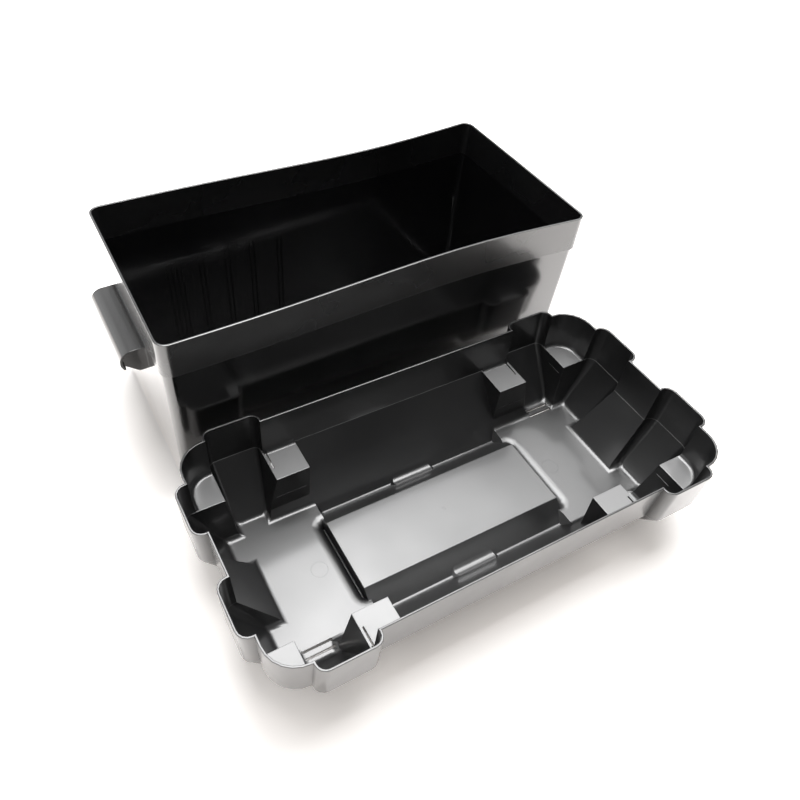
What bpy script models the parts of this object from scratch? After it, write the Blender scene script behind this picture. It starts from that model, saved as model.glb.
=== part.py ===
"""Long battery box with moulded end grips, and its deep lid lying upside down in front of it.

The box stands on its base at the origin, length along X. The lid rests on its top ridge,
open side up, in front of the box (towards -Y). Lengths are in metres and +Z is up.

Both pieces are thin-walled mouldings. The box is an open surface given a wall. The lid is the
difference of two forms made by the same functions: a cavity, and a form that covers the
cavity by one wall all round. All the lid's sizes are those of its cavity.
"""

import math

import bmesh
import bpy

# Both mouldings
WALL = 0.003
OVERRUN = 0.010

# Box
BOX_LENGTH = 0.606
BOX_WIDTH = 0.294
BOX_HEIGHT = 0.290
BOX_CORNER_RADIUS = 0.015
BOX_CORNER_STEPS = 4
LONG_SIDE_STEPS = 12
END_SIDE_STEPS = 2
BASE_FILLET = 0.008
BASE_FILLET_STEPS = 3
BODY_STEPS = 4
COLLAR_HEIGHT = 0.050
COLLAR_STEP = 0.0023
COLLAR_STEP_HEIGHT = 0.002
END_TAPER = 0.003
SIDE_TAPER = 0.0085
RIM_ROUND = 0.0008
RIM_ROUND_STEPS = 2
RIM_ANGLE_DEGREES = 60

# Sag of the long walls towards each other, deepest right of the middle and none at the base
SIDE_SAG = 0.013
SAG_SKEW_SHARE = 1.7
SAG_SHARPNESS_SHARE = 1.3
SAG_FADE_SHARE = 1.3

# Divider guides on both long walls, each a pair of upright ribs
RIB_WIDTH = 0.002
RIB_DEPTH = 0.003
RIB_TOP = 0.181
DIVIDER_GAP = 0.005
GUIDE_SHARES = (-0.700, -0.652, -0.537, -0.402, -0.268, -0.118)

# End grips
GRIP_LENGTH = 0.132
GRIP_TOP = 0.222
GRIP_REACH = 0.034
GRIP_BEND_RADIUS = 0.0155
GRIP_BEND_STEPS = 6
GRIP_DROP = 0.028
GRIP_LIP_HEIGHT = 0.008
GRIP_LIP_TURN = 0.0035
GRIP_WEB = 0.0025
GRIP_WEB_INSET = 0.007
GRIP_WEB_DROP = 0.042
GRIP_WEB_FOOT = 0.012
GRIP_WEB_HOLD_SHARE = 0.75

# Lid heights, from the ridge that it lies on up to its open rim
PANEL_RISE = 0.0125
SLOPE_HEIGHT = 0.072
SKIRT_DEPTH = 0.0595
SKIRT_DRAFT = 0.003
FOLD_DROP = 0.001
LID_RIM_ROUND = 0.0012
LID_RIM_STEPS = 2

# Lid outline at its rim
LID_LENGTH = 0.615
LID_WIDTH = 0.303
LID_CORNER_RADIUS = 0.037
LID_CORNER_STEPS = 6
END_LOBE_REACH = 0.0159
END_LOBE_GAP = 0.0139
END_LOBE_WIDTH = 0.0694
END_LOBE_RADIUS = 0.012
SIDE_LOBE_REACH = 0.014
SIDE_LOBE_GAP = 0.0035
SIDE_LOBE_WIDTH = 0.0707
SIDE_LOBE_RADIUS = 0.010
LOBE_CORNER_STEPS = 4
LOBE_FOOT_RADIUS = 0.005
CORNER_FOOT = 0.002

# Fillet where the slopes meet the floor panels, and where the skirt meets the posts and pads
FOOT_FILLET = 0.0095
FOOT_STEPS = 3
LEDGE_FILLET = 0.007
LEDGE_STEPS = 3
LEDGE_LAP = 0.0001

# How far each face comes in between the fold and the floor panels
END_RUN = 0.050
SIDE_RUN = 0.0571
END_LOBE_RUN = 0.0435
END_LOBE_NEAR_RUN = 0.0108
END_LOBE_FAR_RUN = 0.0101
SIDE_LOBE_RUN = 0.0555
SIDE_LOBE_NEAR_RUN = 0.0145
SIDE_LOBE_FAR_RUN = 0.0095

# Posts beside the side lobes and pads in the corners, whose tops sit on the box
POST_WIDTH = 0.0467
POST_FRONT = 0.1008
POST_PROUD = 0.0012
PAD_PROUD = 0.0005
EDGE_ROUND = 0.0009
EDGE_STEPS = 2

# Thin raised lines on the fronts of the posts and on the sides of the pads
LINE_WIDTH = 0.001
LINE_DEPTH = 0.0005
POST_LINE_HEIGHT = 0.050
POST_LINE_INSET = 0.006
PAD_LINE_DROP = 0.014
PAD_LINE_LENGTH = 0.022

# Raised block in the middle of the floor, and the groove round it
BLOCK_LENGTH = 0.3018
BLOCK_WIDTH = 0.1044
BLOCK_RISE = 0.0209
BLOCK_END_RUN = 0.0008
BLOCK_SIDE_RUN = 0.0263
GROOVE_LENGTH = 0.282
GROOVE_RUN = 0.007
GROOVE_SPREAD = 0.0004
GROOVE_LAP = 0.005
GROOVE_FILLET = 0.003
GROOVE_STEPS = 3
RING_LENGTH = 0.3056
RING_WIDTH = 0.113
RING_RUN = 0.0175
RING_RADIUS = 0.003
RING_CORNER_STEPS = 4
RING_ROUND_STEPS = 4

# Strap saddles, which cross the groove on both long sides with a hollow top
SADDLE_LENGTH = 0.062
SADDLE_RUN = 0.004
SADDLE_RISE = 0.0034
SADDLE_HOLLOW = 0.0034
SADDLE_WIDTH = 0.0176
SADDLE_STEPS = 6

# Slits in the post tops, and vents in two opposite lobes
SLIT_WIDTH = 0.0022
SLIT_INSET = 0.0034
SLIT_LENGTH = 0.028
SLIT_GAP = 0.0005
VENT_WIDTH = 0.003
VENT_INSET = 0.0015
VENT_PITCH = 0.0095
VENT_ROWS = 2
VENT_NEAR_GAP = 0.0027
VENT_FAR_GAP = 0.0055

# Where the lid lies
LID_PLACE_X = -0.0056
LID_PLACE_Y = -0.3268

PANEL_HEIGHT = WALL + PANEL_RISE
FOLD_HEIGHT = PANEL_HEIGHT + SLOPE_HEIGHT
RIM_HEIGHT = FOLD_HEIGHT + SKIRT_DEPTH
END_LOBE_CENTRE = LID_WIDTH / 2 - LID_CORNER_RADIUS - END_LOBE_GAP - END_LOBE_WIDTH / 2
SIDE_LOBE_CENTRE = LID_LENGTH / 2 - LID_CORNER_RADIUS - SIDE_LOBE_GAP - SIDE_LOBE_WIDTH / 2
BEYOND_X = LID_LENGTH / 2 + END_LOBE_REACH + WALL + OVERRUN
BEYOND_Y = LID_WIDTH / 2 + SIDE_LOBE_REACH + WALL + OVERRUN


def clear_scene():
    """Remove every object."""
    for piece in list(bpy.data.objects):
        bpy.data.objects.remove(piece)


def make_collection(name):
    """Return a new collection linked to the scene."""
    collection = bpy.data.collections.new(name)
    bpy.context.scene.collection.children.link(collection)
    return collection


def make_material(name, colour, roughness):
    """Return a plain moulded plastic."""
    material = bpy.data.materials.new(name)
    material.use_nodes = True
    shader = material.node_tree.nodes["Principled BSDF"]
    shader.inputs["Base Color"].default_value = (*colour, 1.0)
    shader.inputs["Roughness"].default_value = roughness
    return material


def make_object(name, form, collection):
    """Turn a bmesh into a named object."""
    mesh = bpy.data.meshes.new(name)
    form.to_mesh(mesh)
    form.free()
    piece = bpy.data.objects.new(name, mesh)
    collection.objects.link(piece)
    return piece


def make_cutter(name, form, collection):
    """Turn a closed bmesh into a guide object that is shown as wires only."""
    bmesh.ops.recalc_face_normals(form, faces=form.faces)
    cutter = make_object(name, form, collection)
    cutter.hide_render = True
    cutter.display_type = "WIRE"
    return cutter


def add_boolean(piece, other, operation):
    """Cut a piece with another one, or join the other one to it."""
    modifier = piece.modifiers.new(other.name, "BOOLEAN")
    modifier.operation = operation
    modifier.solver = "EXACT"
    modifier.object = other


def add_mirror(piece, use_x, use_y):
    """Repeat a piece on the other side of its origin's X plane, its Y plane or both."""
    modifier = piece.modifiers.new("mirror", "MIRROR")
    modifier.use_axis[0] = use_x
    modifier.use_axis[1] = use_y
    modifier.use_mirror_merge = False


def add_wall(piece):
    """Give an open surface its wall, on the inner side."""
    modifier = piece.modifiers.new("wall", "SOLIDIFY")
    modifier.thickness = WALL
    modifier.offset = -1
    modifier.use_even_offset = True


def round_edges(piece):
    """Round a block's edges a little."""
    modifier = piece.modifiers.new("edges", "BEVEL")
    modifier.width = EDGE_ROUND
    modifier.segments = EDGE_STEPS
    modifier.limit_method = "NONE"


def mix(start, end, share):
    """Return the value a share of the way from start to end."""
    return start + (end - start) * share


def unit(x, y):
    """Return a plane direction at length one."""
    length = math.hypot(x, y)
    return x / length, y / length


def rounded_outline(corners):
    """Return the points round an outline of (x, y, radius, steps) corners.

    A corner with no steps stays a sharp point. Any other becomes an arc of that many steps.
    """
    points = []
    for index, (x, y, radius, steps) in enumerate(corners):
        if not steps:
            points.append((x, y))
            continue
        before = corners[index - 1]
        after = corners[(index + 1) % len(corners)]
        back = unit(before[0] - x, before[1] - y)
        onward = unit(after[0] - x, after[1] - y)
        half_angle = math.acos(back[0] * onward[0] + back[1] * onward[1]) / 2
        middle = unit(back[0] + onward[0], back[1] + onward[1])
        setback = radius / math.sin(half_angle)
        tangent = radius / math.tan(half_angle)
        centre = x + middle[0] * setback, y + middle[1] * setback
        start = math.atan2(y + back[1] * tangent - centre[1], x + back[0] * tangent - centre[0])
        end = math.atan2(y + onward[1] * tangent - centre[1], x + onward[0] * tangent - centre[0])
        sweep = (end - start + math.pi) % math.tau - math.pi
        for step in range(steps + 1):
            angle = start + sweep * step / steps
            points.append((centre[0] + radius * math.cos(angle), centre[1] + radius * math.sin(angle)))
    return points


def four_way(quarter):
    """Return a whole outline's corners from those of the quarter between +X and +Y."""
    left = [(-x, y, radius, steps) for x, y, radius, steps in reversed(quarter)]
    under = [(-x, -y, radius, steps) for x, y, radius, steps in quarter]
    right = [(x, -y, radius, steps) for x, y, radius, steps in reversed(quarter)]
    return quarter + left + under + right


def loft(rings):
    """Return a closed solid through rings of (height, points), all with as many points."""
    form = bmesh.new()
    rows = [[form.verts.new((x, y, height)) for x, y in points] for height, points in rings]
    sides = []
    for lower, upper in zip(rows, rows[1:]):
        for index, vert in enumerate(lower):
            after = (index + 1) % len(lower)
            sides.append(form.faces.new((vert, lower[after], upper[after], upper[index])))
    bmesh.ops.triangulate(form, faces=sides)
    form.faces.new(list(reversed(rows[0])))
    form.faces.new(rows[-1])
    return form


def add_wedge(form, low_height, low, high_height, high):
    """Add a block from one rectangle up to another, each (x0, x1, y0, y1)."""
    for vert in bmesh.ops.create_cube(form, size=OVERRUN)["verts"]:
        height, (x0, x1, y0, y1) = (high_height, high) if vert.co.z > 0 else (low_height, low)
        vert.co = (x1 if vert.co.x > 0 else x0, y1 if vert.co.y > 0 else y0, height)


def wedge(low_height, low, high_height, high):
    """Return one block from one rectangle up to another."""
    form = bmesh.new()
    add_wedge(form, low_height, low, high_height, high)
    return form


def box_half_sizes(height):
    """Return the box's outer half length and half width at a height, before the sag."""
    half_length, half_width = BOX_LENGTH / 2, BOX_WIDTH / 2
    foot = BOX_HEIGHT - COLLAR_HEIGHT
    if height >= foot:
        return half_length, half_width
    body_top = foot - COLLAR_STEP_HEIGHT
    share = min(height / body_top, 1)
    inset = COLLAR_STEP * min((foot - height) / COLLAR_STEP_HEIGHT, 1)
    if height < BASE_FILLET:
        inset += BASE_FILLET - math.sqrt(BASE_FILLET**2 - (BASE_FILLET - height) ** 2)
    return half_length - inset - END_TAPER * (1 - share), half_width - inset - SIDE_TAPER * (1 - share)


def wall_sag(x, height):
    """Return how far a long wall leans inward at a place along it and a height."""
    along = min(max(x / BOX_LENGTH + 1 / 2, 0), 1)
    hump = max(math.sin(math.pi * along**SAG_SKEW_SHARE), 0)
    return SIDE_SAG * hump**SAG_SHARPNESS_SHARE * (height / BOX_HEIGHT) ** SAG_FADE_SHARE


def box_ring(height):
    """Return the points round the outside of the box at a height."""
    half_length, half_width = box_half_sizes(height)
    radius = BOX_CORNER_RADIUS - (BOX_WIDTH / 2 - half_width) / 2
    points = []
    for side_x, side_y in ((1, 1), (-1, 1), (-1, -1), (1, -1)):
        centre_x, centre_y = side_x * (half_length - radius), side_y * (half_width - radius)
        start = math.atan2(side_y, side_x) - math.pi / 4
        for step in range(BOX_CORNER_STEPS + 1):
            angle = start + math.pi / 2 * step / BOX_CORNER_STEPS
            points.append((centre_x + radius * math.cos(angle), centre_y + radius * math.sin(angle)))
        on_long_side = side_x == side_y
        steps = LONG_SIDE_STEPS if on_long_side else END_SIDE_STEPS
        last_x, last_y = points[-1]
        next_x = -last_x if on_long_side else last_x
        next_y = last_y if on_long_side else -last_y
        for step in range(1, steps):
            points.append((mix(last_x, next_x, step / steps), mix(last_y, next_y, step / steps)))
    return [(x, y - wall_sag(x, height) * y / half_width) for x, y in points]


def box_heights():
    """Return the heights at which the outside of the box changes or is stepped."""
    heights = []
    for step in range(BASE_FILLET_STEPS):
        heights.append(BASE_FILLET * (1 - math.cos(math.pi / 2 * step / BASE_FILLET_STEPS)))
    foot = BOX_HEIGHT - COLLAR_HEIGHT
    for step in range(BODY_STEPS + 1):
        heights.append(mix(BASE_FILLET, foot - COLLAR_STEP_HEIGHT, step / BODY_STEPS))
    return heights + [foot, BOX_HEIGHT]


def make_box_shell(collection):
    """Make the box as an open surface drawn up from its base, given its wall and a soft rim."""
    heights = box_heights()
    ring = box_ring(heights[0])
    form = bmesh.new()
    made = bmesh.ops.create_circle(form, cap_ends=True, segments=len(ring), radius=BOX_LENGTH / 2)
    row = made["verts"]
    for vert, (x, y) in zip(row, ring):
        vert.co = (x, y, heights[0])
    for height in heights[1:]:
        edges = [form.edges.get(pair) for pair in zip(row, row[1:] + row[:1])]
        made = bmesh.ops.extrude_edge_only(form, edges=edges)["geom"]
        fresh = {item for item in made if isinstance(item, bmesh.types.BMVert)}
        row = [next(edge.other_vert(vert) for edge in vert.link_edges if edge.other_vert(vert) in fresh)
               for vert in row]
        for vert, (x, y) in zip(row, box_ring(height)):
            vert.co = (x, y, height)
    bmesh.ops.recalc_face_normals(form, faces=form.faces)
    box = make_object("box", form, collection)
    add_wall(box)
    rim = box.modifiers.new("rim", "BEVEL")
    rim.width = RIM_ROUND
    rim.segments = RIM_ROUND_STEPS
    rim.limit_method = "ANGLE"
    rim.angle_limit = math.radians(RIM_ANGLE_DEGREES)
    return box


def make_divider_guides(collection):
    """Make the guide ribs of one long wall, rooted in the wall, and mirror them to the other."""
    heights = [WALL / 2] + [height for height in box_heights() if WALL < height < RIB_TOP - RIB_DEPTH]
    heights += [RIB_TOP - RIB_DEPTH, RIB_TOP]
    guides = bmesh.new()
    for share in GUIDE_SHARES:
        for side in (-1, 1):
            middle = share * (BOX_LENGTH / 2 - WALL) + side * (DIVIDER_GAP + RIB_WIDTH) / 2
            x0, x1 = middle - RIB_WIDTH / 2, middle + RIB_WIDTH / 2
            rings = []
            for height in heights:
                inside = box_half_sizes(height)[1] - WALL - wall_sag(middle, height)
                y0, y1 = inside - min(RIB_DEPTH, RIB_TOP - height), inside + WALL / 2
                rings.append((height, [(x0, y0), (x1, y0), (x1, y1), (x0, y1)]))
            rib = loft(rings)
            mesh = bpy.data.meshes.new("rib")
            rib.to_mesh(mesh)
            rib.free()
            guides.from_mesh(mesh)
            bpy.data.meshes.remove(mesh)
    cutter = make_cutter("divider_guides", guides, collection)
    add_mirror(cutter, False, True)
    return cutter


def grip_path(depth):
    """Return a grip hood's section at a depth below its outside, from the wall to the lip."""
    wall_x = box_half_sizes(GRIP_TOP)[0]
    centre_x = wall_x + GRIP_REACH - GRIP_BEND_RADIUS
    centre_z = GRIP_TOP - GRIP_BEND_RADIUS
    radius = GRIP_BEND_RADIUS - depth
    points = [(wall_x - WALL / 2, GRIP_TOP - depth)]
    for step in range(GRIP_BEND_STEPS + 1):
        angle = math.pi / 2 * (1 - step / GRIP_BEND_STEPS)
        points.append((centre_x + radius * math.cos(angle), centre_z + radius * math.sin(angle)))
    lip = GRIP_TOP - GRIP_DROP
    points.append((centre_x + radius, lip + GRIP_LIP_HEIGHT))
    points.append((centre_x + radius - GRIP_LIP_TURN, lip))
    return points


def make_grip_hoods(collection):
    """Make the hoods of both grips, each a bent strip given a wall."""
    form = bmesh.new()
    verts = [form.verts.new((x, GRIP_LENGTH / 2, height)) for x, height in grip_path(0)]
    edges = [form.edges.new(pair) for pair in zip(verts, verts[1:])]
    made = bmesh.ops.extrude_edge_only(form, edges=edges)["geom"]
    fresh = [item for item in made if isinstance(item, bmesh.types.BMVert)]
    bmesh.ops.translate(form, verts=fresh, vec=(0, -GRIP_LENGTH, 0))
    bmesh.ops.recalc_face_normals(form, faces=form.faces)
    top = max(form.faces, key=lambda face: face.calc_center_median().z)
    if top.normal.z < 0:
        bmesh.ops.reverse_faces(form, faces=form.faces)
    hoods = make_object("grip_hoods", form, collection)
    hoods.hide_render = True
    hoods.display_type = "WIRE"
    add_wall(hoods)
    add_mirror(hoods, True, False)
    return hoods


def make_grip_webs(collection):
    """Make the webs that close the hoods near their ends and tie their lips to the walls."""
    path = grip_path(WALL / 2)
    (above_x, above_z), (lip_x, lip_z) = path[-2:]
    hold = mix(above_x, lip_x, GRIP_WEB_HOLD_SHARE), mix(above_z, lip_z, GRIP_WEB_HOLD_SHARE)
    foot = GRIP_TOP - GRIP_WEB_DROP
    wall_x = box_half_sizes(foot)[0]
    profile = path[:-1] + [hold, (wall_x + GRIP_WEB_FOOT, foot), (wall_x - WALL / 2, foot)]
    form = bmesh.new()
    start = GRIP_LENGTH / 2 - GRIP_WEB_INSET
    face = form.faces.new([form.verts.new((x, start, height)) for x, height in profile])
    made = bmesh.ops.extrude_face_region(form, geom=[face])["geom"]
    fresh = [item for item in made if isinstance(item, bmesh.types.BMVert)]
    bmesh.ops.translate(form, verts=fresh, vec=(0, -GRIP_WEB, 0))
    webs = make_cutter("grip_webs", form, collection)
    add_mirror(webs, True, True)
    return webs


def make_box(collection, cutters):
    """Make the box with its divider guides and its grips."""
    box = make_box_shell(collection)
    add_boolean(box, make_divider_guides(cutters), "UNION")
    add_boolean(box, make_grip_hoods(cutters), "UNION")
    add_boolean(box, make_grip_webs(cutters), "UNION")
    box.data.materials.append(make_material("box_plastic", (0.012, 0.012, 0.013), 0.28))
    return box


def leaning(half, run, height, cover):
    """Return how far a lid face stands from its middle at a height.

    The face is half away at the fold and comes in by run down to the panels. A cover moves
    it outward at right angles to itself.
    """
    lean = run / SLOPE_HEIGHT
    return half - lean * (FOLD_HEIGHT - height) + cover * math.hypot(1, lean)


def filleted(foot, lean, rise, radius):
    """Return where a leaning face stands at a rise above its floor, with a fillet at its foot."""
    turn = math.atan2(1, lean)
    if rise >= radius * (1 - math.cos(turn)):
        return foot + lean * rise
    return foot - radius * math.tan(turn / 2) + math.sqrt(radius**2 - (radius - rise) ** 2)


def reach(half, run, height, cover):
    """Return where a leaning lid face stands, with the fillet between it and the panels."""
    floor = PANEL_HEIGHT - cover
    foot = leaning(half, run, floor, cover)
    return filleted(foot, run / SLOPE_HEIGHT, height - floor, FOOT_FILLET + cover)


def side_lobe_span(height, cover, face=leaning):
    """Return where a side lobe's near and far faces stand along X at a height."""
    near = face(SIDE_LOBE_WIDTH / 2, SIDE_LOBE_NEAR_RUN, height, cover)
    far = face(SIDE_LOBE_WIDTH / 2, SIDE_LOBE_FAR_RUN, height, cover)
    return SIDE_LOBE_CENTRE - near, SIDE_LOBE_CENTRE + far


def end_lobe_span(height, cover, face=leaning):
    """Return where an end lobe's near and far faces stand along Y at a height."""
    near = face(END_LOBE_WIDTH / 2, END_LOBE_NEAR_RUN, height, cover)
    far = face(END_LOBE_WIDTH / 2, END_LOBE_FAR_RUN, height, cover)
    return END_LOBE_CENTRE - near, END_LOBE_CENTRE + far


def skirt_outline(height, cover):
    """Return the points round a lid form at a height in its skirt."""
    draft = SKIRT_DRAFT * max(RIM_HEIGHT - height, 0) / SKIRT_DEPTH
    end, side = LID_LENGTH / 2 + cover - draft, LID_WIDTH / 2 + cover - draft
    near_y, far_y = end_lobe_span(FOLD_HEIGHT, 0)
    near_x, far_x = side_lobe_span(FOLD_HEIGHT, 0)
    lobe_x, lobe_y = end + END_LOBE_REACH, side + SIDE_LOBE_REACH
    end_round = END_LOBE_RADIUS + cover, LOBE_CORNER_STEPS
    side_round = SIDE_LOBE_RADIUS + cover, LOBE_CORNER_STEPS
    sharp = 0, 0
    return rounded_outline(four_way([
        (end, near_y - cover, *sharp),
        (lobe_x, near_y - cover, *end_round),
        (lobe_x, far_y + cover, *end_round),
        (end, far_y + cover, *sharp),
        (end, side, LID_CORNER_RADIUS + cover - draft, LID_CORNER_STEPS),
        (far_x + cover, side, *sharp),
        (far_x + cover, lobe_y, *side_round),
        (near_x - cover, lobe_y, *side_round),
        (near_x - cover, side, *sharp),
    ]))


def foot_outline(height, cover):
    """Return the points round a lid form low in its slopes, where each corner is behind a pad."""
    inside_length, inside_width = LID_LENGTH / 2 - SKIRT_DRAFT, LID_WIDTH / 2 - SKIRT_DRAFT
    end = reach(inside_length, END_RUN, height, cover)
    side = reach(inside_width, SIDE_RUN, height, cover)
    lobe_x = reach(inside_length + END_LOBE_REACH, END_LOBE_RUN, height, cover)
    lobe_y = reach(inside_width + SIDE_LOBE_REACH, SIDE_LOBE_RUN, height, cover)
    near_y, far_y = end_lobe_span(height, cover, reach)
    near_x, far_x = side_lobe_span(height, cover, reach)
    lobe_round = LOBE_FOOT_RADIUS, LOBE_CORNER_STEPS
    sharp = 0, 0
    return rounded_outline(four_way([
        (end, near_y, *sharp),
        (lobe_x, near_y, *lobe_round),
        (lobe_x, far_y, *lobe_round),
        (far_x + CORNER_FOOT, far_y, *sharp),
        (far_x + CORNER_FOOT, far_y + CORNER_FOOT, CORNER_FOOT / 2, LID_CORNER_STEPS),
        (far_x, far_y + CORNER_FOOT, *sharp),
        (far_x, lobe_y, *lobe_round),
        (near_x, lobe_y, *lobe_round),
        (near_x, side, *sharp),
    ]))


def lid_rings(cover):
    """Return the rings of a lid form, from its panels up to its rounded rim."""
    floor, radius = PANEL_HEIGHT - cover, FOOT_FILLET + cover
    least_run = min(END_LOBE_NEAR_RUN, END_LOBE_FAR_RUN, SIDE_LOBE_NEAR_RUN, SIDE_LOBE_FAR_RUN)
    turn = math.atan2(SLOPE_HEIGHT, least_run)
    rings = []
    for step in range(FOOT_STEPS + 1):
        height = floor + radius * (1 - math.cos(turn * step / FOOT_STEPS))
        rings.append((height, foot_outline(height, cover)))
    fold = FOLD_HEIGHT - FOLD_DROP * cover / WALL
    rings.append((fold, skirt_outline(FOLD_HEIGHT, cover)))
    opening = -1 if cover else 1
    for step in range(LID_RIM_STEPS + 1):
        angle = math.pi / 2 * step / LID_RIM_STEPS
        height = RIM_HEIGHT - LID_RIM_ROUND * (1 - math.sin(angle))
        flare = opening * LID_RIM_ROUND * (1 - math.cos(angle))
        rings.append((height, skirt_outline(height, cover + flare)))
    return rings


def post_span(height, cover):
    """Return where a post's near and far faces stand along X at a height."""
    far = side_lobe_span(height, cover)[0] + POST_PROUD
    return side_lobe_span(FOLD_HEIGHT, 0)[0] + POST_PROUD - POST_WIDTH + cover, far


def pad_place(height, cover):
    """Return where a pad's two inner faces stand at a height."""
    return side_lobe_span(height, cover)[1] - PAD_PROUD, end_lobe_span(height, cover)[1] - PAD_PROUD


def make_posts(cover, name, collection):
    """Make the posts, which stand out of the long sides beside the side lobes."""
    low, high = -OVERRUN, FOLD_HEIGHT - cover
    rectangles = [(*post_span(height, cover), POST_FRONT + cover, BEYOND_Y) for height in (low, high)]
    posts = make_cutter(name, wedge(low, rectangles[0], high, rectangles[1]), collection)
    if not cover:
        round_edges(posts)
    add_mirror(posts, True, True)
    return posts


def make_pads(cover, name, collection):
    """Make the pads, which fill the four corners between the lobes."""
    low, high = -OVERRUN, FOLD_HEIGHT - cover
    rectangles = []
    for height in (low, high):
        near_x, near_y = pad_place(height, cover)
        rectangles.append((near_x, BEYOND_X, near_y, BEYOND_Y))
    pads = make_cutter(name, wedge(low, rectangles[0], high, rectangles[1]), collection)
    if not cover:
        round_edges(pads)
    add_mirror(pads, True, True)
    return pads


def make_block(cover, name, collection):
    """Make the raised block in the middle, wider at its foot on all sides."""
    low, high = -OVERRUN, WALL + BLOCK_RISE - cover
    rectangles = []
    for height in (low, high):
        share = (WALL + BLOCK_RISE - height) / BLOCK_RISE
        half_x = BLOCK_LENGTH / 2 + BLOCK_END_RUN * share - cover * math.hypot(1, BLOCK_END_RUN / BLOCK_RISE)
        half_y = BLOCK_WIDTH / 2 + BLOCK_SIDE_RUN * share
        half_y -= cover * math.hypot(1, BLOCK_SIDE_RUN / BLOCK_RISE)
        rectangles.append((-half_x, half_x, -half_y, half_y))
    block = make_cutter(name, wedge(low, rectangles[0], high, rectangles[1]), collection)
    if not cover:
        round_edges(block)
    return block


def make_saddles(cover, name, collection):
    """Make the strap saddles: a rise in the groove with a hollow top and leaning ends."""
    middle = BLOCK_WIDTH / 2 + BLOCK_SIDE_RUN
    slant = SADDLE_RUN / SADDLE_RISE
    half = SADDLE_WIDTH / 2 + cover
    profile = []
    for step in range(SADDLE_STEPS + 1):
        share = step / SADDLE_STEPS * 2 - 1
        height = WALL + SADDLE_RISE + SADDLE_HOLLOW * share**2 - cover
        profile.append((middle + half * share, height))
    profile += [(middle + half, -OVERRUN), (middle - half, -OVERRUN)]
    form = bmesh.new()
    ends = []
    for side in (-1, 1):
        row = []
        for y, height in profile:
            lean = slant * (WALL + SADDLE_RISE - height) - cover * math.hypot(1, slant)
            row.append(form.verts.new((side * (SADDLE_LENGTH / 2 + lean), y, height)))
        ends.append(row)
    for index in range(len(profile)):
        after = (index + 1) % len(profile)
        form.faces.new((ends[0][index], ends[0][after], ends[1][after], ends[1][index]))
    caps = [form.faces.new(row) for row in ends]
    bmesh.ops.triangulate(form, faces=caps)
    saddles = make_cutter(name, form, collection)
    add_mirror(saddles, False, True)
    return saddles


def make_groove(cover, name, collection):
    """Make the straight groove: the space between the long slopes, below the panels."""
    floor, top = WALL - cover, PANEL_HEIGHT + GROOVE_LAP
    lean_x, lean_y = GROOVE_RUN / PANEL_RISE, SIDE_RUN / SLOPE_HEIGHT
    side = leaning(LID_WIDTH / 2 - SKIRT_DRAFT, SIDE_RUN, floor, cover)
    radius = GROOVE_FILLET + cover
    turns = [math.atan2(1, lean_y) * step / GROOVE_STEPS for step in range(GROOVE_STEPS + 1)]
    heights = [floor + radius * (1 - math.cos(turn)) for turn in turns]
    rings = []
    for height in heights + [top + GROOVE_LAP]:
        half_x = GROOVE_LENGTH / 2 + lean_x * (height - WALL) + cover * math.hypot(1, lean_x)
        spread = GROOVE_SPREAD * (top - height) / (top - floor)
        half_y = filleted(side, lean_y, height - floor, radius) + spread
        rings.append((height, rounded_outline(four_way([(half_x, half_y, 0, 0)]))))
    return make_cutter(name, loft(rings), collection)


def make_ring(cover, name, collection):
    """Make the ends of the groove, whose outer walls round over into the panels."""
    rise, run = PANEL_RISE - cover, RING_RUN - cover
    places = [(WALL - cover, 0)] if cover else []
    for step in range(RING_ROUND_STEPS + 1):
        angle = math.pi / 2 * step / RING_ROUND_STEPS
        places.append((WALL + rise * math.sin(angle), run * (1 - math.cos(angle))))
    places.append((PANEL_HEIGHT + GROOVE_LAP, run + GROOVE_SPREAD))
    rings = []
    for height, spread in places:
        spread += cover
        corner = (RING_LENGTH / 2 + spread, RING_WIDTH / 2 + spread, RING_RADIUS + spread, RING_CORNER_STEPS)
        rings.append((height, rounded_outline(four_way([corner]))))
    return make_cutter(name, loft(rings), collection)


def make_lines(collection):
    """Make the thin raised lines on the posts' fronts and the pads' sides."""
    near_x, far_x = post_span(POST_LINE_HEIGHT, 0)
    low, high = POST_LINE_HEIGHT - LINE_WIDTH / 2, POST_LINE_HEIGHT + LINE_WIDTH / 2
    rectangle = (near_x + POST_LINE_INSET, far_x - POST_LINE_INSET, POST_FRONT - LINE_DEPTH, BEYOND_Y)
    form = wedge(low, rectangle, high, rectangle)
    low, high = FOLD_HEIGHT - PAD_LINE_DROP - LINE_WIDTH, FOLD_HEIGHT - PAD_LINE_DROP
    rectangles = []
    for height in (low, high):
        face_x, start = pad_place(height, 0)
        rectangles.append((face_x - LINE_DEPTH, face_x + LINE_WIDTH, start + POST_LINE_INSET,
                           start + POST_LINE_INSET + PAD_LINE_LENGTH))
    add_wedge(form, low, rectangles[0], high, rectangles[1])
    lines = make_cutter("raised_lines", form, collection)
    add_mirror(lines, True, True)
    return lines


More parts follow.
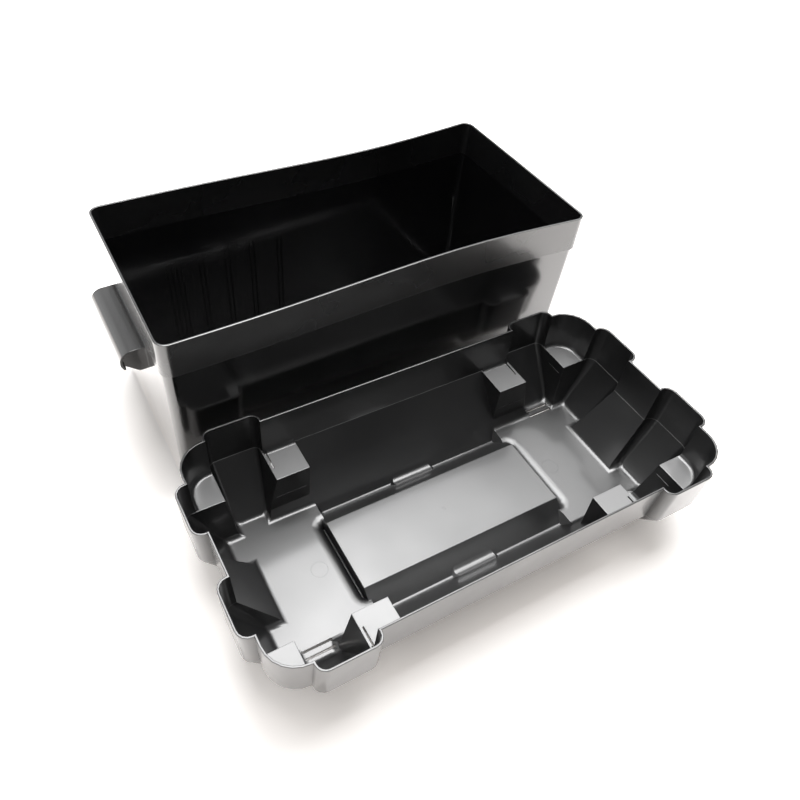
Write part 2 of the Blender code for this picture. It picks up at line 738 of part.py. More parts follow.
def make_ledges(collection):
    """Make the fillets where the skirt meets the tops of the posts and of the pads."""
    low, high = FOLD_HEIGHT - OVERRUN, FOLD_HEIGHT + LEDGE_FILLET
    near_x, far_x = post_span(FOLD_HEIGHT, 0)
    far_x -= POST_PROUD + EDGE_ROUND
    rectangle = (near_x + EDGE_ROUND, far_x, POST_FRONT + EDGE_ROUND, BEYOND_Y)
    form = wedge(low, rectangle, high, rectangle)
    pad_x, pad_y = pad_place(FOLD_HEIGHT, 0)
    rectangle = (pad_x + EDGE_ROUND, BEYOND_X, pad_y + EDGE_ROUND, BEYOND_Y)
    add_wedge(form, low, rectangle, high, rectangle)
    ledges = make_cutter("ledges", form, collection)
    add_mirror(ledges, True, True)
    rings = []
    for step in range(LEDGE_STEPS + 1):
        angle = math.pi / 2 * step / LEDGE_STEPS
        height = FOLD_HEIGHT + LEDGE_FILLET * (1 - math.cos(angle)) - LEDGE_LAP
        rings.append((height, skirt_outline(height, LEDGE_FILLET * (math.sin(angle) - 1) + LEDGE_LAP)))
    rings.append((high + OVERRUN, rings[-1][1]))
    pocket = make_cutter("ledge_pocket", loft(rings), collection)
    add_boolean(ledges, pocket, "DIFFERENCE")
    return ledges, pocket


def shape_form(piece, cover, name, collection):
    """Join the groove to a lid form, and cut what stands in the lid's cavity, less the cover."""
    groove = make_groove(cover, name + "_groove", collection)
    ring = make_ring(cover, name + "_ring", collection)
    add_boolean(piece, groove, "UNION")
    add_boolean(piece, ring, "UNION")
    cutters = [
        make_block(cover, name + "_block", collection),
        make_saddles(cover, name + "_saddles", collection),
        make_posts(cover, name + "_posts", collection),
        make_pads(cover, name + "_pads", collection),
    ]
    for cutter in cutters:
        add_boolean(piece, cutter, "DIFFERENCE")
    return [groove, ring] + cutters


def make_openings(collection):
    """Make the cutters of the slits in the post tops and of the vents in two lobes."""
    low, high = FOLD_HEIGHT - WALL - OVERRUN, FOLD_HEIGHT + OVERRUN
    slit_x = post_span(FOLD_HEIGHT, 0)[1] - SLIT_INSET
    slit_y = LID_WIDTH / 2 - SKIRT_DRAFT - SLIT_GAP
    rectangle = (slit_x - SLIT_WIDTH, slit_x, slit_y - SLIT_LENGTH, slit_y)
    slits = make_cutter("slits", wedge(low, rectangle, high, rectangle), collection)
    add_mirror(slits, True, True)
    low, high = PANEL_HEIGHT - WALL - OVERRUN, PANEL_HEIGHT + OVERRUN
    near_x, far_x = side_lobe_span(PANEL_HEIGHT, 0)
    start, end = near_x + VENT_NEAR_GAP, far_x - VENT_FAR_GAP
    side = leaning(LID_WIDTH / 2 - SKIRT_DRAFT, SIDE_RUN, PANEL_HEIGHT, 0)
    form = bmesh.new()
    for row in range(VENT_ROWS):
        y0 = side - VENT_INSET - VENT_WIDTH + VENT_PITCH * row
        y1 = y0 + VENT_WIDTH
        for rectangle in ((start, end, y0, y1), (-end, -start, -y1, -y0)):
            add_wedge(form, low, rectangle, high, rectangle)
    return [slits, make_cutter("vents", form, collection)]


def make_lid(collection, cutters):
    """Make the lid: a form with a cavity one wall smaller taken out of it."""
    outside = loft(lid_rings(WALL))
    bmesh.ops.recalc_face_normals(outside, faces=outside.faces)
    lid = make_object("lid", outside, collection)
    outer_cutters = shape_form(lid, WALL, "outer", cutters)
    rings = lid_rings(0)
    rings.append((RIM_HEIGHT + OVERRUN, rings[-1][1]))
    cavity = make_cutter("cavity", loft(rings), cutters)
    inner_cutters = shape_form(cavity, 0, "inner", cutters)
    ledges, pocket = make_ledges(cutters)
    lines = make_lines(cutters)
    for cutter in (ledges, lines):
        add_boolean(cavity, cutter, "DIFFERENCE")
    openings = make_openings(cutters)
    for cutter in [cavity] + openings:
        add_boolean(lid, cutter, "DIFFERENCE")
    for piece in [lid, cavity, ledges, pocket, lines] + outer_cutters + inner_cutters + openings:
        piece.location = (LID_PLACE_X, LID_PLACE_Y, 0)
    lid.data.materials.append(make_material("lid_plastic", (0.012, 0.012, 0.013), 0.24))
    return lid


def main():
    """Build the box and its lid."""
    clear_scene()
    parts = make_collection("battery_box")
    cutters = make_collection("battery_box_cutters")
    make_box(parts, cutters)
    make_lid(parts, cutters)


main()
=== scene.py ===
"""Studio scene of a long battery box, with its deep lid lying upside down in front of it.

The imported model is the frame. Each moulding is shown by a finer copy of its own solid, with
smooth curved faces, and dressed in black moulded plastic. Lengths are in metres and +Z is up.
"""

from __future__ import annotations

import logging
import math
from dataclasses import dataclass
from enum import Enum

import bpy
from mathutils import Matrix, Vector


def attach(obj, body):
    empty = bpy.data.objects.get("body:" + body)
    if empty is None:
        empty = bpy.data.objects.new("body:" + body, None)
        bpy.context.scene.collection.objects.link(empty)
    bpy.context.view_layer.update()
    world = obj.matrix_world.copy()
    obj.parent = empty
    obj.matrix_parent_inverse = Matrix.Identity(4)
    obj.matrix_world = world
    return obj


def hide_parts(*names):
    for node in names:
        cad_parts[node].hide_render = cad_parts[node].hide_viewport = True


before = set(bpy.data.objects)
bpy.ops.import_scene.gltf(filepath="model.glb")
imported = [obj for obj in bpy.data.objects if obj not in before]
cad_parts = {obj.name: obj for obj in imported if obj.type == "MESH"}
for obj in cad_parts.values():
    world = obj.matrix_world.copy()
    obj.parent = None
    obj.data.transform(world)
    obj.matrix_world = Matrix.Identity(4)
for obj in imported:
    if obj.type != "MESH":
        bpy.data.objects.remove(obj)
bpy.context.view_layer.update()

UPWARD = 0.5

LOG = logging.getLogger("battery_box_scene")


class Body(Enum):
    """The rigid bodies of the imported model."""

    BOX = "box"
    LID = "lid"


def deselect() -> None:
    """Leave object mode with nothing selected."""
    if bpy.context.object and bpy.context.object.mode != "OBJECT":
        bpy.ops.object.mode_set(mode="OBJECT")
    bpy.ops.object.select_all(action="DESELECT")


def activate(piece: bpy.types.Object) -> None:
    """Select one object alone and make it the active one.

    Args:
        piece: The object to work on.
    """
    deselect()
    piece.select_set(True)
    bpy.context.view_layer.objects.active = piece


def apply_modifier(piece: bpy.types.Object, modifier: bpy.types.Modifier) -> None:
    """Apply a modifier to the mesh of its object.

    Args:
        piece: The object that carries the modifier.
        modifier: The modifier to apply.
    """
    activate(piece)
    bpy.ops.object.modifier_apply(modifier=modifier.name)


class NodeBoard:
    """A material's node tree, with short calls that add and join nodes."""

    def __init__(self, tree: bpy.types.NodeTree) -> None:
        """Clear the tree and keep it."""
        self.tree = tree
        tree.nodes.clear()

    def add(self, kind: str, place: tuple[float, float], **settings: object) -> bpy.types.Node:
        """Add a node.

        Args:
            kind: The node's type name.
            place: Where it lies on the board.
            settings: Properties of the node.

        Returns:
            The new node.
        """
        node = self.tree.nodes.new(kind)
        node.location = place
        for name, value in settings.items():
            setattr(node, name, value)
        return node

    def join(self, output: bpy.types.NodeSocket, target: bpy.types.NodeSocket) -> None:
        """Link an output socket to an input socket."""
        self.tree.links.new(output, target)


@dataclass(frozen=True)
class MouldedPlastic:
    """Black injection-moulded plastic with a fine spark-eroded grain.

    Attributes:
        name: The material's name.
        colour: Pigment colour in linear light.
        roughness_low: Roughness where the mould was polished most.
        roughness_high: Roughness where the grain is strongest.
        grain_size: Width of one grain in metres.
        grain_height: Depth of the grain in metres.
        sink_height: Depth of the slow waves that shrinkage leaves in a flat wall, in metres.
        edge_radius: Radius that every small edge shows.
        matt_and_sheen_low: Height at which a band starts that is more matt and is painted paler as
            a painted sheen, in metres.
        matt_and_sheen_high: Height at which it ends, in metres.
        worn_roughness: How much rougher the band is.
        painted_sheen: How much paler the band is painted, a painted sheen that stands in for light
            on it.
        ior: Index of refraction of the plastic.
        specular_level: Strength of its reflection.
        coat_weight: How much of the smooth skin that the mould leaves shows.
        coat_roughness: Roughness of that skin.
        coat_ior: Index of refraction of that skin.
        flow_scale: Waves in a metre of the noise that varies the gloss and the tint.
        flow_detail: How many finer waves that noise has.
        flow_low: Value of that noise at which the roughness is lowest.
        flow_high: Value of that noise at which the roughness is highest.
        tint_low: Brightness of the darkest tint.
        tint_high: Brightness of the palest tint.
        sink_scale: Waves in a metre of the shrinkage.
        relief_detail: How many finer waves the grain and the shrinkage have.
        edge_samples: Rays that look for each small edge.
    """

    name: str
    colour: tuple[float, float, float]
    roughness_low: float
    roughness_high: float
    grain_size: float
    grain_height: float
    sink_height: float
    edge_radius: float
    matt_and_sheen_low: float
    matt_and_sheen_high: float
    worn_roughness: float
    painted_sheen: float
    ior: float = 1.55
    specular_level: float = 1.0
    coat_weight: float = 0.8
    coat_roughness: float = 0.12
    coat_ior: float = 1.5
    flow_scale: float = 9.0
    flow_detail: float = 3.0
    flow_low: float = 0.3
    flow_high: float = 0.7
    tint_low: float = 0.85
    tint_high: float = 1.15
    sink_scale: float = 14.0
    relief_detail: float = 1.0
    edge_samples: int = 8

    def add_band(self, board: NodeBoard, place: bpy.types.Node) -> bpy.types.Node:
        """Add the nodes that pick out, by its height, the band that is more matt and painted paler
        as a sheen.

        Args:
            board: The material's board.
            place: Its texture coordinates.

        Returns:
            A node whose Value is 1 in the band and 0 elsewhere.
        """
        height = board.add("ShaderNodeSeparateXYZ", (-900, 700))
        board.join(place.outputs["Object"], height.inputs["Vector"])
        above = board.add("ShaderNodeMath", (-650, 800), operation="GREATER_THAN")
        above.inputs[1].default_value = self.matt_and_sheen_low
        board.join(height.outputs["Z"], above.inputs[0])
        below = board.add("ShaderNodeMath", (-650, 620), operation="LESS_THAN")
        below.inputs[1].default_value = self.matt_and_sheen_high
        board.join(height.outputs["Z"], below.inputs[0])
        band = board.add("ShaderNodeMath", (-450, 700), operation="MULTIPLY")
        board.join(above.outputs["Value"], band.inputs[0])
        board.join(below.outputs["Value"], band.inputs[1])
        return band

    def join_gloss(self, board: NodeBoard, flow: bpy.types.Node, band: bpy.types.Node,
                   shader: bpy.types.Node) -> None:
        """Vary the roughness with the flow, and raise it in the band.

        Args:
            board: The material's board.
            flow: The noise that the gloss follows.
            band: The node that is 1 in the more matt band.
            shader: The shader that takes the roughness.
        """
        gloss = board.add("ShaderNodeMapRange", (-300, 200))
        gloss.inputs["From Min"].default_value = self.flow_low
        gloss.inputs["From Max"].default_value = self.flow_high
        gloss.inputs["To Min"].default_value = self.roughness_low
        gloss.inputs["To Max"].default_value = self.roughness_high
        board.join(flow.outputs["Fac"], gloss.inputs["Value"])
        matt = board.add("ShaderNodeMath", (0, 200), operation="MULTIPLY_ADD")
        matt.inputs[1].default_value = self.worn_roughness
        board.join(band.outputs["Value"], matt.inputs[0])
        board.join(gloss.outputs["Result"], matt.inputs[2])
        board.join(matt.outputs["Value"], shader.inputs["Roughness"])

    def join_pigment(self, board: NodeBoard, flow: bpy.types.Node, band: bpy.types.Node,
                     shader: bpy.types.Node) -> None:
        """Vary the tint with the flow, and paint the band paler, a painted sheen.

        Args:
            board: The material's board.
            flow: The noise that the tint follows.
            band: The node that is 1 in the more matt band.
            shader: The shader that takes the colour.
        """
        tint = board.add("ShaderNodeMapRange", (-300, 450))
        tint.inputs["To Min"].default_value = self.tint_low
        tint.inputs["To Max"].default_value = self.tint_high
        board.join(flow.outputs["Fac"], tint.inputs["Value"])
        pigment = board.add("ShaderNodeVectorMath", (0, 450), operation="SCALE")
        pigment.inputs[0].default_value = self.colour
        board.join(tint.outputs["Result"], pigment.inputs["Scale"])
        # Painted sheen: the band's colour is made paler, standing in for light on it.
        sheen_paint = board.add("ShaderNodeMath", (0, 700), operation="MULTIPLY")
        sheen_paint.inputs[1].default_value = self.painted_sheen
        board.join(band.outputs["Value"], sheen_paint.inputs[0])
        paler = board.add("ShaderNodeVectorMath", (300, 450), operation="ADD")
        board.join(pigment.outputs["Vector"], paler.inputs[0])
        board.join(sheen_paint.outputs["Value"], paler.inputs[1])
        board.join(paler.outputs["Vector"], shader.inputs["Base Color"])

    def join_relief(self, board: NodeBoard, place: bpy.types.Node,
                    shader: bpy.types.Node) -> None:
        """Round the small edges, and add the waves of shrinkage and the grain.

        Args:
            board: The material's board.
            place: Its texture coordinates.
            shader: The shader that takes the normal.
        """
        grain = board.add("ShaderNodeTexNoise", (-600, -150), noise_dimensions="3D")
        grain.inputs["Scale"].default_value = 1.0 / self.grain_size
        grain.inputs["Detail"].default_value = self.relief_detail
        board.join(place.outputs["Object"], grain.inputs["Vector"])
        sink = board.add("ShaderNodeTexNoise", (-600, -450), noise_dimensions="3D")
        sink.inputs["Scale"].default_value = self.sink_scale
        sink.inputs["Detail"].default_value = self.relief_detail
        board.join(place.outputs["Object"], sink.inputs["Vector"])
        edge = board.add("ShaderNodeBevel", (-300, -650), samples=self.edge_samples)
        edge.inputs["Radius"].default_value = self.edge_radius
        waves = board.add("ShaderNodeBump", (0, -450))
        waves.inputs["Distance"].default_value = self.sink_height
        waves.inputs["Strength"].default_value = 1.0
        board.join(sink.outputs["Fac"], waves.inputs["Height"])
        board.join(edge.outputs["Normal"], waves.inputs["Normal"])
        bump = board.add("ShaderNodeBump", (300, -250))
        bump.inputs["Distance"].default_value = self.grain_height
        bump.inputs["Strength"].default_value = 1.0
        board.join(grain.outputs["Fac"], bump.inputs["Height"])
        board.join(waves.outputs["Normal"], bump.inputs["Normal"])
        board.join(bump.outputs["Normal"], shader.inputs["Normal"])

    def build(self) -> bpy.types.Material:
        """Make the material.

        Returns:
            The finished material.
        """
        material = bpy.data.materials.new(self.name)
        material.use_nodes = True
        board = NodeBoard(material.node_tree)
        output = board.add("ShaderNodeOutputMaterial", (900, 0))
        shader = board.add("ShaderNodeBsdfPrincipled", (600, 0))
        place = board.add("ShaderNodeTexCoord", (-900, 0))
        shader.inputs["IOR"].default_value = self.ior
        shader.inputs["Specular IOR Level"].default_value = self.specular_level
        shader.inputs["Coat Weight"].default_value = self.coat_weight
        shader.inputs["Coat Roughness"].default_value = self.coat_roughness
        shader.inputs["Coat IOR"].default_value = self.coat_ior
        flow = board.add("ShaderNodeTexNoise", (-600, 200), noise_dimensions="3D")
        flow.inputs["Scale"].default_value = self.flow_scale
        flow.inputs["Detail"].default_value = self.flow_detail
        board.join(place.outputs["Object"], flow.inputs["Vector"])
        band = self.add_band(board, place)
        self.join_gloss(board, flow, band, shader)
        self.join_pigment(board, flow, band, shader)
        self.join_relief(board, place, shader)
        board.join(shader.outputs["BSDF"], output.inputs["Surface"])
        return material


@dataclass
class Moulding:
    """A thin-walled moulding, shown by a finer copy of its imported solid.

    Attributes:
        body: The body that it rides on, which has the name of its node too.
        finish: What it is moulded in.
        merge_gap: Points closer than this become one.
        flat_degrees: Facets within this angle of each other become one face.
        smooth_degrees: Faces that meet at less than this angle are shaded as one.
    """

    body: Body
    finish: MouldedPlastic
    merge_gap: float = 0.00001
    flat_degrees: float = 0.5
    smooth_degrees: float = 32.0

    def copy_solid(self) -> bpy.types.Object:
        """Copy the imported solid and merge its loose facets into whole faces.

        Returns:
            The copy, with its place in its mesh.
        """
        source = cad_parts[self.body.value]
        mesh = source.data.copy()
        mesh.transform(source.matrix_world)
        mesh.name = f"{self.body.value}_moulding"
        piece = bpy.data.objects.new(mesh.name, mesh)
        bpy.context.scene.collection.objects.link(piece)
        activate(piece)
        bpy.ops.mesh.customdata_custom_splitnormals_clear()
        bpy.ops.object.mode_set(mode="EDIT")
        bpy.ops.mesh.select_all(action="SELECT")
        bpy.ops.mesh.remove_doubles(threshold=self.merge_gap)
        bpy.ops.mesh.dissolve_limited(angle_limit=math.radians(self.flat_degrees))
        bpy.ops.object.mode_set(mode="OBJECT")
        return piece

    def smooth(self, piece: bpy.types.Object) -> None:
        """Shade curved faces as one and keep flat faces flat.

        Args:
            piece: The moulding to shade.
        """
        activate(piece)
        bpy.ops.object.shade_smooth_by_angle(angle=math.radians(self.smooth_degrees))
        weights = piece.modifiers.new("flat_faces", "WEIGHTED_NORMAL")
        weights.keep_sharp = True
        apply_modifier(piece, weights)

    def build(self) -> bpy.types.Object:
        """Make the moulding and dress it.

        Returns:
            The piece that shows the moulding.
        """
        piece = self.copy_solid()
        self.smooth(piece)
        piece.data.materials.clear()
        piece.data.materials.append(self.finish.build())
        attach(piece, self.body.value)
        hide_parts(self.body.value)
        return piece


@dataclass
class BoxMoulding(Moulding):
    """The box, whose inner wall runs into its collar without a sharp step.

    Its walls bow a little, so its facets are kept as they are and shaded as one.

    Attributes:
        step_low: Height just below the foot of the inner step.
        step_high: Height just above that foot.
        step_drop: How far the foot is drawn down the wall.
    """

    flat_degrees: float = 0.01
    step_low: float = 0.2385
    step_high: float = 0.2405
    step_drop: float = 0.030

    def copy_solid(self) -> bpy.types.Object:
        """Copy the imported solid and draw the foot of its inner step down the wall.

        Returns:
            The copy, with its place in its mesh.
        """
        piece = super().copy_solid()
        activate(piece)
        bpy.ops.object.mode_set(mode="EDIT")
        bpy.ops.mesh.select_all(action="DESELECT")
        bpy.ops.object.mode_set(mode="OBJECT")
        for vertex in piece.data.vertices:
            inward = vertex.normal.x * vertex.co.x + vertex.normal.y * vertex.co.y < 0
            vertex.select = inward and self.step_low < vertex.co.z < self.step_high
        bpy.ops.object.mode_set(mode="EDIT")
        bpy.ops.transform.translate(value=(0.0, 0.0, -self.step_drop))
        bpy.ops.object.mode_set(mode="OBJECT")
        return piece


@dataclass
class MouldMark:
    """A round mark that a pin or the gate of the mould leaves on a flat face of the lid.

    Attributes:
        name: The piece's name.
        finish: What it is moulded in.
        place: Centre of the mark on its face.
        radius: Its outer radius.
        rim_width: Width of its raised rim.
        rim_height: Height of the rim above the face.
        bed_depth: How far the mark's body is sunk in the face.
        middle_height: Height of its middle above the face.
        sides: Number of facets round it.
        smooth_degrees: Faces that meet at less than this angle are shaded as one.
    """

    name: str
    finish: MouldedPlastic
    place: tuple[float, float, float]
    radius: float
    rim_width: float = 0.0007
    rim_height: float = 0.00022
    bed_depth: float = 0.0004
    middle_height: float = 0.00003
    sides: int = 64
    smooth_degrees: float = 20.0

    def build(self) -> bpy.types.Object:
        """Make the mark: a sunk disc with its middle pushed down inside a narrow rim.

        Returns:
            The finished piece.
        """
        deselect()
        depth = self.rim_height + self.bed_depth
        x, y, z = self.place
        bpy.ops.mesh.primitive_cylinder_add(vertices=self.sides, radius=self.radius, depth=depth,
                                            location=(x, y, z + self.rim_height - depth / 2))
        piece = bpy.context.object
        piece.name = piece.data.name = self.name
        bpy.ops.object.transform_apply(location=True, rotation=True, scale=True)
        for face in piece.data.polygons:
            face.select = face.normal.z > UPWARD
        bpy.ops.object.mode_set(mode="EDIT")
        bpy.ops.mesh.inset(thickness=self.rim_width)
        bpy.ops.mesh.inset(thickness=self.rim_height)
        bpy.ops.transform.translate(value=(0.0, 0.0, self.middle_height - self.rim_height))
        bpy.ops.object.mode_set(mode="OBJECT")
        bpy.ops.object.shade_smooth_by_angle(angle=math.radians(self.smooth_degrees))
        piece.data.materials.append(bpy.data.materials[self.finish.name])
        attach(piece, Body.LID.value)
        return piece


@dataclass(frozen=True)
class SoftLamp:
    """A rectangular soft light.

    Attributes:
        name: The lamp's name.
        place: Where it hangs.
        target: What it points at.
        size: Its width and height.
        radiance: How bright its face looks, where 1 is white.
    """

    name: str
    place: tuple[float, float, float]
    target: tuple[float, float, float]
    size: tuple[float, float]
    radiance: float

    def build(self) -> bpy.types.Object:
        """Hang the lamp.

        Returns:
            The lamp.
        """
        data = bpy.data.lights.new(self.name, "AREA")
        data.shape = "RECTANGLE"
        data.size, data.size_y = self.size
        data.energy = self.radiance * math.pi * self.size[0] * self.size[1]
        lamp = bpy.data.objects.new(self.name, data)
        lamp.location = self.place
        aim = Vector(self.target) - Vector(self.place)
        lamp.rotation_euler = aim.to_track_quat("-Z", "Y").to_euler()
        bpy.context.scene.collection.objects.link(lamp)
        return lamp


@dataclass
class Studio:
    """A pale sweep with soft lamps and an even white world.

    Attributes:
        floor_size: Length of the floor's sides.
        floor_colour: Colour of the floor in linear light.
        floor_glow: Brightness that the floor adds of its own, which keeps shadows soft.
        shadow_tint: Colour of that glow, which shows in the shadow.
        contact_reach: How near an object must be to dim the glow that the camera sees, which
            paints shade on the floor round and under it.
        shade_reach: How near an object must be to dim the glow in reflections, which paints shade
            on the floor that the mouldings reflect.
        shade_samples: Rays that look for that object.
        world_strength: Brightness of the dim room above the white sweep.
        sweep_top: Height on the sky at which the white sweep starts to fade.
        sweep_end: Height on the sky at which it has ended.
        sweep_side: How far towards the back, as a direction's Y, the white sweep starts.
        sweep_middle: How far towards the back it is full.
    """

    floor_size: float = 14.0
    floor_colour: tuple[float, float, float] = (0.93, 0.92, 0.915)
    floor_glow: float = 0.55
    shadow_tint: tuple[float, float, float] = (1.0, 0.94, 0.89)
    contact_reach: float = 0.06
    shade_reach: float = 0.35
    shade_samples: int = 8
    world_strength: float = 0.08
    sweep_top: float = 0.55
    sweep_end: float = 0.85
    sweep_side: float = 0.40
    sweep_middle: float = 0.70
    lamps: tuple[SoftLamp, ...] = (
        SoftLamp("top_softbox", (0.20, -0.15, 1.85), (0.20, -0.15, 0.0), (1.6, 0.7), 9.5),
        SoftLamp("back_left_softbox", (0.05, 0.76, 1.85), (0.05, 0.76, 0.0), (0.9, 1.05), 8.5),
        SoftLamp("back_softbox", (0.80, 0.76, 1.85), (0.80, 0.76, 0.0), (0.6, 1.05), 5.5),
        SoftLamp("right_softbox", (1.55, 0.65, 1.85), (1.55, 0.65, 0.0), (0.9, 1.3), 3.0),
        SoftLamp("left_softbox", (-2.2, 0.2, 0.9), (0.0, -0.1, 0.1), (1.4, 1.2), 1.2),
    )

    def add_shaded_glow(self, board: NodeBoard, rays: bpy.types.NodeSocket, brightness: float,
                        reach: float, row: float) -> bpy.types.Node:
        """Add a glow that some rays see, and that fades near an object as painted shade.

        Args:
            board: The floor material's board.
            rays: 1 for the rays that see the glow and 0 for the others.
            brightness: The glow's strength in the open.
            reach: How near an object must be to dim it.
            row: Height of its nodes on the board.

        Returns:
            A node whose Value is the glow's strength.
        """
        # Painted shade: ambient occlusion dims the glow near objects.
        open_sky = board.add("ShaderNodeAmbientOcclusion", (-600, row),
                             samples=self.shade_samples)
        open_sky.inputs["Distance"].default_value = reach
        level = board.add("ShaderNodeMath", (-400, row), operation="MULTIPLY")
        level.inputs[1].default_value = brightness
        board.join(open_sky.outputs["AO"], level.inputs[0])
        seen = board.add("ShaderNodeMath", (-200, row), operation="MULTIPLY")
        board.join(level.outputs["Value"], seen.inputs[0])
        board.join(rays, seen.inputs[1])
        return seen

    def build_floor(self) -> bpy.types.Object:
        """Lay the floor, which is white to the camera and in reflections and takes the shadow.

        Returns:
            The floor.
        """
        deselect()
        bpy.ops.mesh.primitive_plane_add(size=self.floor_size, location=(0, 0, 0))
        floor = bpy.context.object
        floor.name = "studio_floor"
        material = bpy.data.materials.new("floor_paper")
        material.use_nodes = True
        board = NodeBoard(material.node_tree)
        output = board.add("ShaderNodeOutputMaterial", (800, 0))
        paper = board.add("ShaderNodeBsdfDiffuse", (0, 100))
        paper.inputs["Color"].default_value = (*self.floor_colour, 1.0)
        glow = board.add("ShaderNodeEmission", (200, -100))
        glow.inputs["Color"].default_value = (*self.shadow_tint, 1.0)
        rays = board.add("ShaderNodeLightPath", (-900, -200))
        mirrored = board.add("ShaderNodeMath", (-600, -400), operation="MAXIMUM")
        board.join(rays.outputs["Is Glossy Ray"], mirrored.inputs[0])
        board.join(rays.outputs["Is Transmission Ray"], mirrored.inputs[1])
        shown = self.add_shaded_glow(board, rays.outputs["Is Camera Ray"], self.floor_glow,
                                     self.contact_reach, -600)
        reflected = self.add_shaded_glow(board, mirrored.outputs["Value"], 1.0,
                                         self.shade_reach, -800)
        strength = board.add("ShaderNodeMath", (0, -250), operation="ADD")
        board.join(shown.outputs["Value"], strength.inputs[0])
        board.join(reflected.outputs["Value"], strength.inputs[1])
        board.join(strength.outputs["Value"], glow.inputs["Strength"])
        total = board.add("ShaderNodeAddShader", (400, 0))
        board.join(paper.outputs["BSDF"], total.inputs[0])
        board.join(glow.outputs["Emission"], total.inputs[1])
        board.join(total.outputs["Shader"], output.inputs["Surface"])
        floor.data.materials.append(material)
        return floor

    def build_world(self) -> None:
        """Surround the scene with a dim room and a white sweep behind, all white to the camera."""
        world = bpy.data.worlds.new("studio_white")
        bpy.context.scene.world = world
        world.use_nodes = True
        board = NodeBoard(world.node_tree)
        output = board.add("ShaderNodeOutputWorld", (400, 0))
        white = board.add("ShaderNodeBackground", (200, 0))
        white.inputs["Color"].default_value = (1.0, 1.0, 1.0, 1.0)
        rays = board.add("ShaderNodeLightPath", (-600, 200))
        place = board.add("ShaderNodeTexCoord", (-900, -100))
        height = board.add("ShaderNodeSeparateXYZ", (-700, -100))
        board.join(place.outputs["Generated"], height.inputs["Vector"])
        top = board.add("ShaderNodeMapRange", (-450, -50), interpolation_type="SMOOTHSTEP")
        top.inputs["From Min"].default_value = self.sweep_top
        top.inputs["From Max"].default_value = self.sweep_end
        top.inputs["To Min"].default_value = 1.0
        top.inputs["To Max"].default_value = 0.0
        board.join(height.outputs["Z"], top.inputs["Value"])
        side = board.add("ShaderNodeMapRange", (-450, -350), interpolation_type="SMOOTHSTEP")
        side.inputs["From Min"].default_value = self.sweep_side
        side.inputs["From Max"].default_value = self.sweep_middle
        board.join(height.outputs["Y"], side.inputs["Value"])
        sweep = board.add("ShaderNodeMath", (-250, -150), operation="MULTIPLY")
        board.join(top.outputs["Result"], sweep.inputs[0])
        board.join(side.outputs["Result"], sweep.inputs[1])
        room = board.add("ShaderNodeMath", (-250, -400), operation="ADD")
        room.inputs[1].default_value = self.world_strength
        board.join(sweep.outputs["Value"], room.inputs[0])
        strength = board.add("ShaderNodeMath", (-50, 0), operation="MAXIMUM")
        board.join(rays.outputs["Is Camera Ray"], strength.inputs[0])
        board.join(room.outputs["Value"], strength.inputs[1])
        board.join(strength.outputs["Value"], white.inputs["Strength"])
        board.join(white.outputs["Background"], output.inputs["Surface"])

    def build(self) -> None:
        """Set up the colours, the floor, the world and the lamps."""
        bpy.context.scene.view_settings.view_transform = "Standard"
        self.build_floor()
        self.build_world()
        for lamp in self.lamps:
            lamp.build()


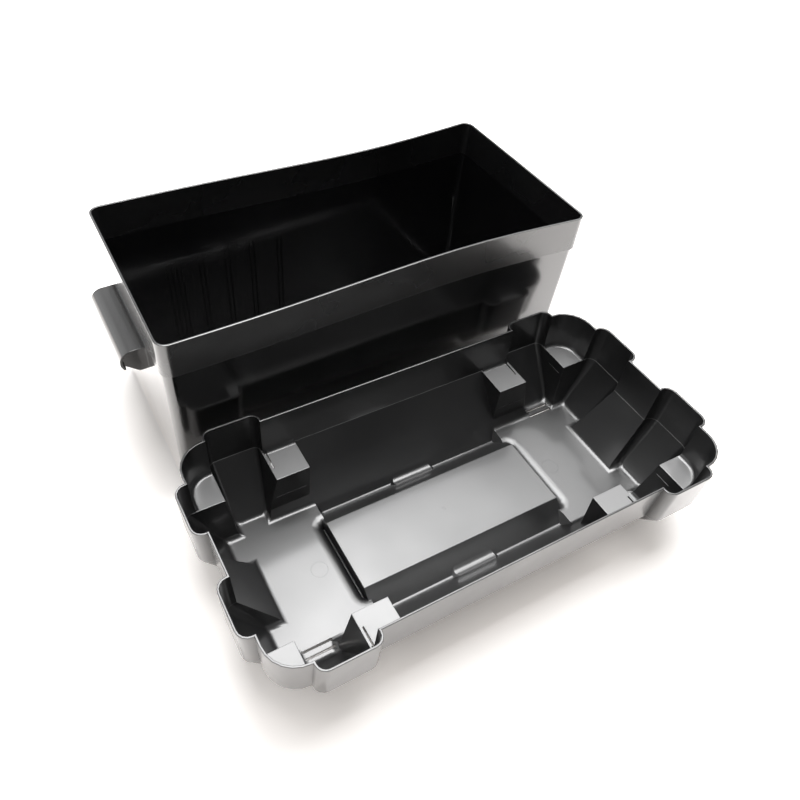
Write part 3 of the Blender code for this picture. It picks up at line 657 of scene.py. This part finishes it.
@dataclass(frozen=True)
class StudioCamera:
    """The camera, at the photograph's viewpoint.

    Attributes:
        place: Where it stands.
        heading: Angle of its view to the right of +Y, in radians.
        dip: Angle of its view below the horizon, in radians.
        roll: Its turn about its own view, in radians.
        focal_length: Focal length in pixels of an 800 pixel wide picture.
        centre: Where its axis meets that picture, in pixels from the top left corner.
        picture: Width and height of that picture in pixels.
        sensor: Width of the sensor in millimetres.
        near: Distance at which it starts to see, in metres.
        far: Distance at which it stops, in metres.
    """

    place: tuple[float, float, float] = (-0.40634, -0.74498, 0.85771)
    heading: float = 0.5477
    dip: float = 0.8174
    roll: float = 0.0734
    focal_length: float = 740.73
    centre: tuple[float, float] = (360.43, 385.97)
    picture: float = 800.0
    sensor: float = 36.0
    near: float = 0.01
    far: float = 50.0

    def axes(self) -> Matrix:
        """Return the camera's right, up and back directions as a turn."""
        forward = Vector((math.sin(self.heading) * math.cos(self.dip),
                          math.cos(self.heading) * math.cos(self.dip), -math.sin(self.dip)))
        level = Vector((math.cos(self.heading), -math.sin(self.heading), 0.0))
        above = level.cross(forward)
        right = level * math.cos(self.roll) + above * math.sin(self.roll)
        up = above * math.cos(self.roll) - level * math.sin(self.roll)
        return Matrix((right, up, -forward)).transposed()

    def build(self) -> bpy.types.Object:
        """Set up the camera.

        Returns:
            The camera.
        """
        data = bpy.data.cameras.new("studio_camera")
        data.sensor_width = self.sensor
        data.lens = self.focal_length / self.picture * self.sensor
        data.shift_x = (self.picture / 2 - self.centre[0]) / self.picture
        data.shift_y = (self.centre[1] - self.picture / 2) / self.picture
        data.clip_start = self.near
        data.clip_end = self.far
        camera = bpy.data.objects.new("studio_camera", data)
        camera.matrix_world = Matrix.Translation(self.place) @ self.axes().to_4x4()
        bpy.context.scene.collection.objects.link(camera)
        bpy.context.scene.camera = camera
        return camera


BOX_PLASTIC = MouldedPlastic(
    name="box_black_plastic",
    colour=(0.003, 0.003, 0.0034),
    roughness_low=0.13,
    roughness_high=0.20,
    grain_size=0.0009,
    grain_height=0.00001,
    sink_height=0.00012,
    edge_radius=0.0008,
    # Painted sheen: the collar band is rougher and is painted a little paler, standing in for its
    # lighter sheen.
    matt_and_sheen_low=0.2385,
    matt_and_sheen_high=0.2895,
    worn_roughness=0.12,
    painted_sheen=0.001,
)
LID_PLASTIC = MouldedPlastic(
    name="lid_black_plastic",
    colour=(0.003, 0.003, 0.0034),
    roughness_low=0.34,
    roughness_high=0.46,
    grain_size=0.0009,
    grain_height=0.00001,
    sink_height=0.00008,
    edge_radius=0.0008,
    # Painted sheen: the post tops at this height are rougher and are painted paler, standing in
    # for their bright sheen.
    matt_and_sheen_low=0.0870,
    matt_and_sheen_high=0.0880,
    worn_roughness=0.08,
    painted_sheen=0.13,
)


def main() -> None:
    """Build every piece in order."""
    logging.basicConfig(level=logging.INFO, format="%(message)s")
    StudioCamera().build()
    Studio().build()
    marks = (
        MouldMark("lid_pin_mark_right", LID_PLASTIC, (0.1759, -0.3286, 0.0155), 0.0120),
        MouldMark("lid_pin_mark_left", LID_PLASTIC, (-0.1920, -0.3273, 0.0155), 0.0110),
        MouldMark("lid_gate_mark", LID_PLASTIC, (-0.0048, -0.3248, 0.0239), 0.0026,
                  rim_width=0.0008, rim_height=0.0006),
    )
    for part in (BoxMoulding(Body.BOX, BOX_PLASTIC), Moulding(Body.LID, LID_PLASTIC), *marks):
        piece = part.build()
        LOG.info("%s: %d faces", piece.name, len(piece.data.polygons))


if __name__ == "__main__":
    main()
